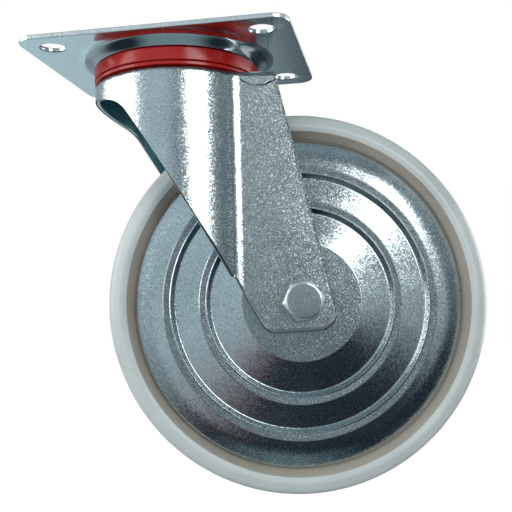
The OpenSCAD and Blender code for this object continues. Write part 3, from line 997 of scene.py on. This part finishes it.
CARRIED_OVER = {
    "race_spacer": ZINC_BOLT, "axle_tube": ZINC_BOLT,
    "upper_balls": STEEL_BALL, "lower_balls": STEEL_BALL,
    "bearing_inner_near": STEEL_BALL, "bearing_inner_far": STEEL_BALL,
    "bearing_outer_near": STEEL_BALL, "bearing_outer_far": STEEL_BALL,
    "bearing_balls_near": STEEL_BALL, "bearing_balls_far": STEEL_BALL,
    "bearing_cage_near": STEEL_CAGE, "bearing_cage_far": STEEL_CAGE,
    "bearing_seal_near": RUBBER, "bearing_seal_far": RUBBER,
}


def dress_cad_nodes():
    for node, material in CARRIED_OVER.items():
        for slot in frame["nodes"][node].material_slots:
            slot.material = material


make_plate()
make_ring()
make_kingpin()
make_race_cup()
make_fork()
make_wheel()
make_disc("side_disc_near", NEAR)
make_disc("side_disc_far", FAR)
make_fasteners()
dress_cad_nodes()


# ------------------------------------------------------------------ stage, light and camera

FLOOR_RADIUS = 2.9
DOME_RADIUS = 3


def stage_material(name, glow, grey):
    """A pale surface that is mostly its own even glow."""
    n = Nodes(name)
    cloud = n.noise(400, 2, 0.5)
    shaded = grey * 0.99
    n.set(Base_Color=n.mix(cloud, (grey, grey, grey), (shaded, shaded, shaded)), Roughness=0.9)
    n.shader.inputs["Emission Color"].default_value = (1, 1, 1, 1)
    n.shader.inputs["Emission Strength"].default_value = glow
    n.shader.inputs["Specular IOR Level"].default_value = 0.0
    return n.material


def stage_piece(name, work, material):
    """A piece of the stage from a bmesh; it lights nothing and shows in no reflection."""
    mesh = bpy.data.meshes.new(name)
    work.to_mesh(mesh)
    work.free()
    mesh.materials.append(material)
    piece = bpy.data.objects.new(name, mesh)
    bpy.context.scene.collection.objects.link(piece)
    piece.visible_glossy = False
    piece.visible_diffuse = False
    piece.visible_shadow = False
    return piece


def make_stage():
    floor = bmesh.new()
    bmesh.ops.create_circle(floor, cap_ends=True, segments=96, radius=FLOOR_RADIUS)
    ground = stage_piece("floor", floor, stage_material("pale_floor", 0.90, 0.85))
    ground.location = (0, 0, cad_box[0].z)
    dome = bmesh.new()
    bmesh.ops.create_uvsphere(dome, u_segments=64, v_segments=32, radius=DOME_RADIUS)
    bmesh.ops.reverse_faces(dome, faces=dome.faces)
    backdrop = stage_piece("backdrop", dome, stage_material("pale_backdrop", 1.0, 0.0))
    backdrop.visible_transmission = False


def toward(azimuth, elevation):
    """Direction from the object, azimuth from the front (-Y) towards +X in the fork's frame."""
    a, e = math.radians(azimuth), math.radians(elevation)
    return FORK.to_3x3() @ Vector((math.sin(a) * math.cos(e), -math.cos(a) * math.cos(e), math.sin(e)))


def softbox(name, azimuth, elevation, distance, size, brightness, tint=(1, 1, 1)):
    """A rectangular light that faces the castor. Brightness is the radiance of its face."""
    lamp = bpy.data.lights.new(name, "AREA")
    lamp.shape = "RECTANGLE"
    lamp.size, lamp.size_y = size
    lamp.energy = brightness * math.pi * size[0] * size[1]
    lamp.color = tint
    target = FORK.to_3x3() @ Vector((0.02, 0, -0.11))
    out = toward(azimuth, elevation)
    light = bpy.data.objects.new(name, lamp)
    light.location = target + out * distance
    light.rotation_mode = "QUATERNION"
    light.rotation_quaternion = out.to_track_quat("Z", "Y")
    bpy.context.scene.collection.objects.link(light)
    return light


def make_light():
    softbox("key_right", 28.5, 19, 1.5, (0.66, 0.76), 4.2)
    softbox("left_wall", -85, 14, 1.5, (1.55, 1.0), 2.6)
    softbox("right_wall", 108, 4, 1.5, (1.2, 0.9), 2.8)
    softbox("top", 0, 80, 1.6, (1.6, 1.6), 0.2, (0.62, 0.92, 1.0))
    fill = softbox("front_fill", -15, 0, 2.0, (2.0, 2.0), 0.4)
    bounce = softbox("floor_bounce", -20, -50, 2.0, (2.0, 2.0), 0.75)
    for soft in (fill, bounce):
        soft.visible_glossy = False


# Colour of the room from straight down (0) to straight up (1)
ROOM = [(0.0, (0.010, 0.018, 0.024)), (0.40, (0.020, 0.030, 0.042)), (0.50, (0.11, 0.145, 0.16)),
        (0.74, (0.23, 0.29, 0.32)), (1.0, (0.07, 0.09, 0.10))]
# Soft areas of its walls: azimuth and elevation of the middle, half width where the area is
# full, half width where it has faded out (degrees), colour
WALLS = [
    (-44, 10, 20, 50, (0.27, 0.33, 0.35)),
    (10, 5, 8, 42, (0.055, 0.06, 0.06)),
    (-24, -27, 5, 15, (0.07, 0.02, 0.025)),
    (-10, -74, 14, 34, (0.20, 0.27, 0.29)),
    (-142, -32, 10, 30, (0.22, 0.26, 0.27)),
    (-20, -12, 6, 26, (0.16, 0.18, 0.18)),
    (36, 0, 4, 22, (0.27, 0.31, 0.31)),
    (-170, -19, 3, 17, (0.37, 0.47, 0.50)),
    (180, -62, 12, 40, (0.16, 0.21, 0.22)),
    (-150, 5, 20, 60, (0.14, 0.17, 0.18)),
]


def room_colour(tree, direction):
    """Colour of the room by height alone."""
    split = tree.nodes.new("ShaderNodeSeparateXYZ")
    tree.links.new(direction, split.inputs[0])
    height = tree.nodes.new("ShaderNodeMapRange")
    height.inputs["From Min"].default_value = -1
    tree.links.new(split.outputs["Z"], height.inputs["Value"])
    ramp = tree.nodes.new("ShaderNodeValToRGB")
    tree.links.new(height.outputs["Result"], ramp.inputs["Fac"])
    elements = ramp.color_ramp.elements
    while len(elements) < len(ROOM):
        elements.new(0.5)
    for element, (at, colour) in zip(elements, ROOM):
        element.position = at
        element.color = (*colour, 1)
    return ramp.outputs["Color"]


def add_wall(tree, direction, total, azimuth, elevation, full, faded, colour):
    """Adds one soft area to the colour so far."""
    facing = tree.nodes.new("ShaderNodeVectorMath")
    facing.operation = "DOT_PRODUCT"
    facing.inputs[1].default_value = toward(azimuth, elevation)
    tree.links.new(direction, facing.inputs[0])
    fade = tree.nodes.new("ShaderNodeMapRange")
    fade.interpolation_type = "SMOOTHSTEP"
    fade.inputs["From Min"].default_value = math.cos(math.radians(faded))
    fade.inputs["From Max"].default_value = math.cos(math.radians(full))
    tree.links.new(facing.outputs["Value"], fade.inputs["Value"])
    glow = tree.nodes.new("ShaderNodeVectorMath")
    glow.operation = "MULTIPLY_ADD"
    glow.inputs[0].default_value = colour
    tree.links.new(fade.outputs["Result"], glow.inputs[1])
    tree.links.new(total, glow.inputs[2])
    return glow.outputs[0]


def make_world():
    """A dim blue-grey room, dark below, with soft brighter areas on its walls."""
    world = bpy.data.worlds.new("studio")
    bpy.context.scene.world = world
    world.use_nodes = True
    tree = world.node_tree
    direction = tree.nodes.new("ShaderNodeTexCoord").outputs["Generated"]
    total = room_colour(tree, direction)
    for wall in WALLS:
        total = add_wall(tree, direction, total, *wall)
    tree.links.new(total, tree.nodes["Background"].inputs["Color"])


# Camera in the fork's own frame, in metres, degrees and millimetres of lens
CAMERA_AT = Vector((0.0209, -0.4524, -0.1501))
CAMERA_YAW = 2.92
CAMERA_PITCH = 3.5
CAMERA_ROLL = -1.49
LENS = 58.2
SENSOR = 36
SHIFT = (-0.011, 0.042)


def make_camera():
    data = bpy.data.cameras.new("camera")
    data.sensor_width = SENSOR
    data.lens = LENS
    data.shift_x, data.shift_y = SHIFT
    data.clip_start = 0.01
    data.clip_end = 50
    camera = bpy.data.objects.new("camera", data)
    camera.location = FORK @ CAMERA_AT
    turn = (Matrix.Rotation(SWIVEL - math.radians(CAMERA_YAW), 4, "Z")
            @ Matrix.Rotation(math.radians(90 + CAMERA_PITCH), 4, "X")
            @ Matrix.Rotation(math.radians(CAMERA_ROLL), 4, "Z"))
    camera.rotation_mode = "QUATERNION"
    camera.rotation_quaternion = turn.to_quaternion()
    bpy.context.scene.collection.objects.link(camera)
    bpy.context.scene.camera = camera


make_stage()
make_world()
make_light()
make_camera()
bpy.context.scene.view_settings.view_transform = "Standard"
